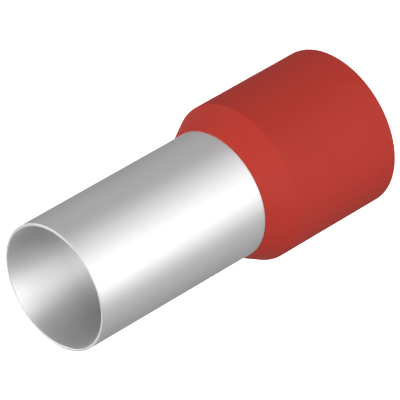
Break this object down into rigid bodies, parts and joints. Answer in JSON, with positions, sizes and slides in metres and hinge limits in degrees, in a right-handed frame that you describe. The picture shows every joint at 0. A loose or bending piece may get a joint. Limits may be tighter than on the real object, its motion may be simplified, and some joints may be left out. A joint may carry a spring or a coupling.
{
  "type": "wire ferrule",
  "caption": "Insulated wire-end ferrule: a thin tinned tube, flared at its wire end, held in a red plastic collar with a conical front and an open rear.",
  "frame": {"origin": "centre of the collar's open end, on the plane that the ferrule stands on", "axes": "+Z along the ferrule's axis, from the collar's open end to the sleeve's mouth; it is round, so X and Y are free"},
  "size_m": [0.0192, 0.0192, 0.044],
  "materials": {
    "tinned_copper": "drawn copper with a smooth, matt-bright tin plating",
    "red_plastic": "moulded polypropylene, opaque, satin"
  },
  "bodies": {
    "root": {"metal_sleeve": "tinned_copper", "insulating_collar": "red_plastic"}
  },
  "joints": []
}
